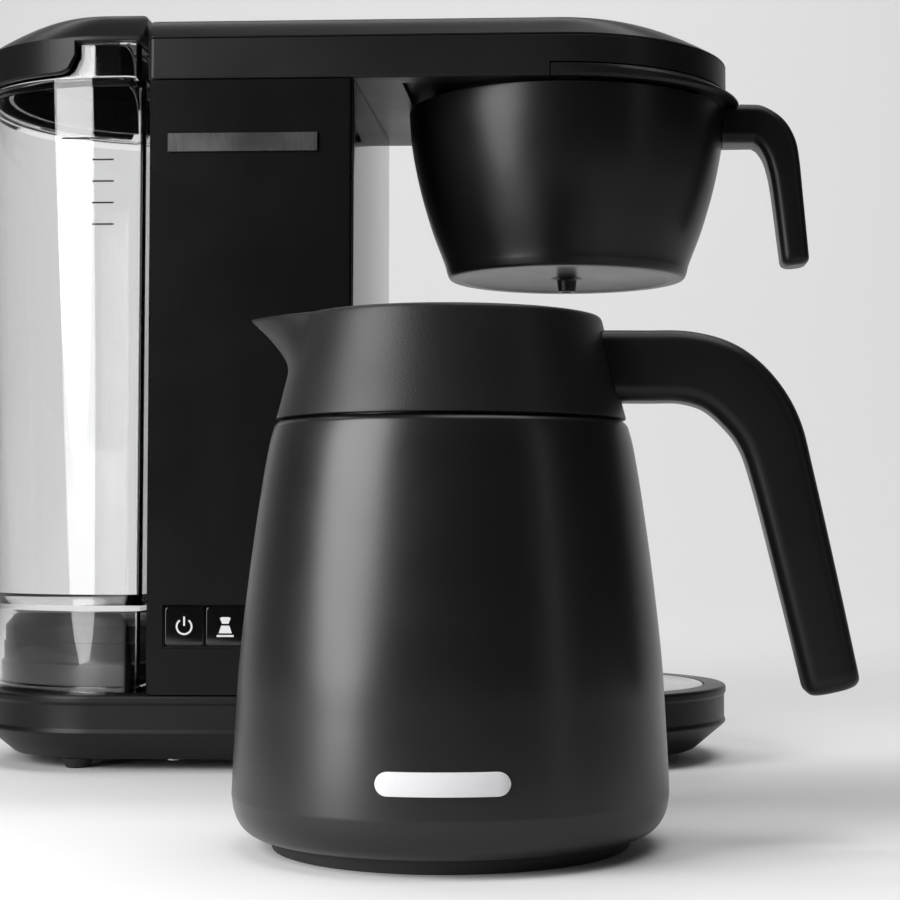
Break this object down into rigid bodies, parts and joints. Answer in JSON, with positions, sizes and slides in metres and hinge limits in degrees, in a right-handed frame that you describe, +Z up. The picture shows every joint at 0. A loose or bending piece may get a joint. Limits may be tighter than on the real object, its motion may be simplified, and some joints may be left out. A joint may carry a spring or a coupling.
{
  "type": "drip coffee brewer with carafe",
  "caption": "Counter-top drip coffee brewer: clear water tank, control tower and head with a hanging brew basket, and a vacuum carafe with spout and handle standing in front.",
  "frame": {"origin": "on the table, in the middle of the box round the brewer and the carafe together", "axes": "+Z up, +X along the brewer from the tank to the basket, -Y towards the user"},
  "size_m": [0.371, 0.383, 0.3156],
  "materials": {
    "black_plastic": "satin black moulded plastic with a fine grain",
    "gloss_black_plastic": "polished black plastic",
    "black_powder_coat": "satin black powder coat on steel",
    "steel": "brushed stainless steel",
    "cast_aluminium": "as-cast aluminium",
    "black_rubber": "matt black rubber",
    "silicone": "translucent white silicone",
    "circuit_board": "green circuit board with components",
    "clear_plastic": "clear polished plastic, 2.5 mm wall"
  },
  "bodies": {
    "machine": {"base_shell": "black_plastic", "base_cover": "black_plastic", "foot_1": "black_rubber", "foot_2": "black_rubber", "foot_3": "black_rubber", "foot_4": "black_rubber", "base_screw_1": "steel", "base_screw_2": "steel", "base_screw_3": "steel", "base_screw_4": "steel", "carafe_plate": "steel", "cord_gland": "black_rubber", "tower_shell": "gloss_black_plastic", "back_panel": "black_plastic", "panel_screw_1": "steel", "panel_screw_2": "steel", "panel_screw_3": "steel", "panel_screw_4": "steel", "front_panel": "black_powder_coat", "button_frame": "gloss_black_plastic", "control_board": "circuit_board", "badge": "steel", "head_shell": "black_plastic", "head_cover": "black_plastic", "shower_head": "steel", "tank_outlet_valve": "silicone", "inlet_hose": "silicone", "heater": "cast_aluminium", "thermal_fuse": "silicone", "heater_strap_left": "steel", "heater_strap_right": "steel", "thermostat": "black_plastic", "riser_tube": "silicone", "tank_body": "clear_plastic", "tank_pedestal": "black_plastic", "tank_seal": "black_rubber", "lid_hinge_pin": "steel"},
    "tank_lid": {"tank_lid": "black_plastic"},
    "basket": {"basket_bowl": "black_plastic", "basket_fascia": "black_plastic", "basket_handle": "black_plastic"},
    "button_power": {"button_power": "gloss_black_plastic"},
    "button_bloom": {"button_bloom": "gloss_black_plastic"},
    "button_timer": {"button_timer": "gloss_black_plastic"},
    "button_clean": {"button_clean": "gloss_black_plastic"},
    "carafe": {"carafe_shell": "black_powder_coat", "carafe_liner": "steel", "carafe_foot": "black_rubber", "carafe_collar": "black_plastic", "carafe_handle": "black_plastic", "carafe_badge": "steel", "handle_screw_1": "steel", "handle_screw_2": "steel"}
  },
  "joints": [
    {"name": "lid_hinge", "type": "hinge", "parent": "machine", "child": "tank_lid", "pos_m": [-0.0992, 0.1149, 0.3126], "axis": [0, 1, 0], "range_deg": [0, 95]},
    {"name": "basket_slide", "type": "slide", "parent": "machine", "child": "basket", "axis": [1, 0, 0], "range_m": [0, 0.15]},
    {"name": "carafe_lift", "type": "slide", "parent": "machine", "child": "carafe", "axis": [0, 0, 1], "range_m": [0, 0.12]},
    {"name": "button_power_press", "type": "slide", "parent": "machine", "child": "button_power", "axis": [0, 1, 0], "range_m": [0, 0.0015], "stiffness_N_per_m": 300},
    {"name": "button_bloom_press", "type": "slide", "parent": "machine", "child": "button_bloom", "axis": [0, 1, 0], "range_m": [0, 0.0015], "stiffness_N_per_m": 300},
    {"name": "button_timer_press", "type": "slide", "parent": "machine", "child": "button_timer", "axis": [0, 1, 0], "range_m": [0, 0.0015], "stiffness_N_per_m": 300},
    {"name": "button_clean_press", "type": "slide", "parent": "machine", "child": "button_clean", "axis": [0, 1, 0], "range_m": [0, 0.0015], "stiffness_N_per_m": 300}
  ]
}
